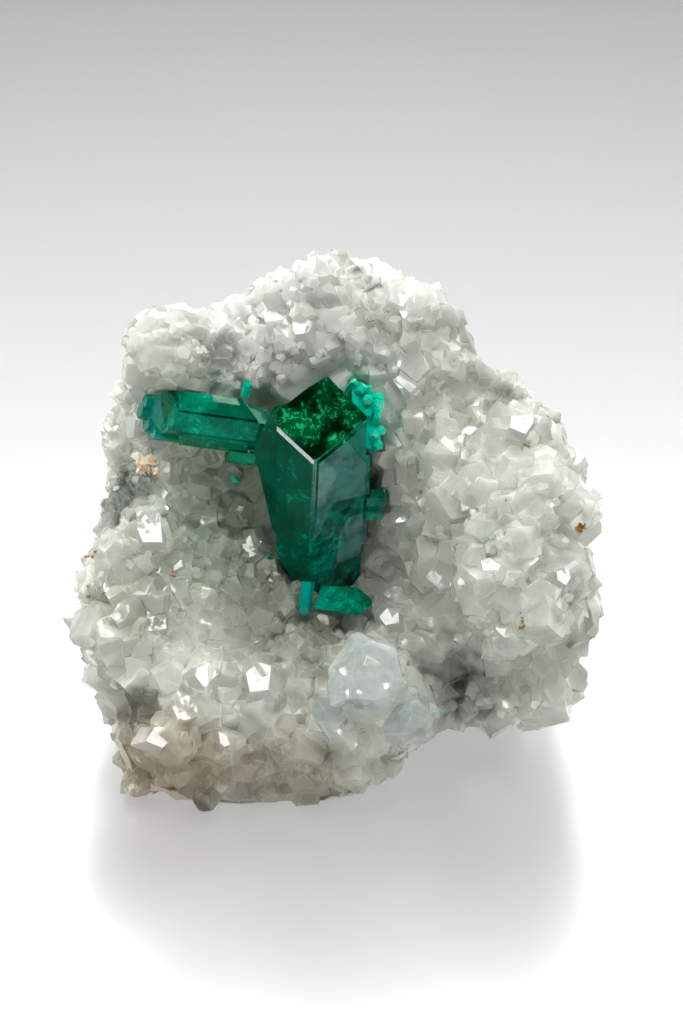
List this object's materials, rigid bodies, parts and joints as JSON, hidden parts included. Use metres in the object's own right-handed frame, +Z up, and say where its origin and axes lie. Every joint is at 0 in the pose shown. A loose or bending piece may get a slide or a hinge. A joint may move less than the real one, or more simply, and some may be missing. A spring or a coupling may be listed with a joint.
{
  "type": "dioptase crystals on a quartz matrix",
  "caption": "Cabinet specimen of upright and lying prismatic green crystals in the hollow of a leaning lump of drusy quartz, cut flat to stand.",
  "frame": {"origin": "centre of the bounding box on the surface that the specimen stands on", "axes": "+Z up, the druse with the green crystals faces -Y and leans back, +X to the viewer's right"},
  "size_m": [0.0708, 0.0488, 0.0643],
  "materials": {
    "quartz": "vitreous",
    "dioptase": "vitreous"
  },
  "bodies": {
    "root": {"quartz_matrix": "quartz", "dioptase_standing_crystal": "dioptase", "dioptase_lying_crystal": "dioptase", "dioptase_lying_stub": "dioptase", "dioptase_right_stub": "dioptase", "dioptase_right_cluster": "dioptase", "dioptase_foot_blade": "dioptase", "dioptase_foot_spike": "dioptase", "dioptase_loose_crystal": "dioptase"}
  },
  "joints": []
}
